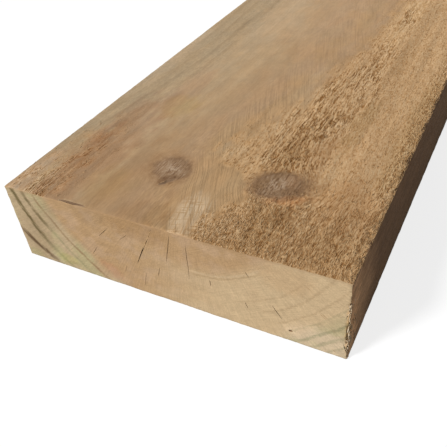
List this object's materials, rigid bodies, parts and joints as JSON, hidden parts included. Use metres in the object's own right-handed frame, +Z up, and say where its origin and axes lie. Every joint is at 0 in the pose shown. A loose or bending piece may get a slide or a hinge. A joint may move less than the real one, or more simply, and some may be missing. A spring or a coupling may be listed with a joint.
{
  "type": "timber plank",
  "caption": "Rough-sawn softwood plank of rectangular section, with eased arrises, square-docked ends and drying checks in one end, for decking, edging or framing.",
  "frame": {"origin": "centre of the broad underside, midway along the length", "axes": "+Y along the length, away from the checked end; +X across the width; +Z up through the thickness"},
  "size_m": [0.2, 2.4, 0.052],
  "materials": {
    "sawn_pine": "matte"
  },
  "bodies": {
    "root": {"plank": "sawn_pine"}
  },
  "joints": []
}
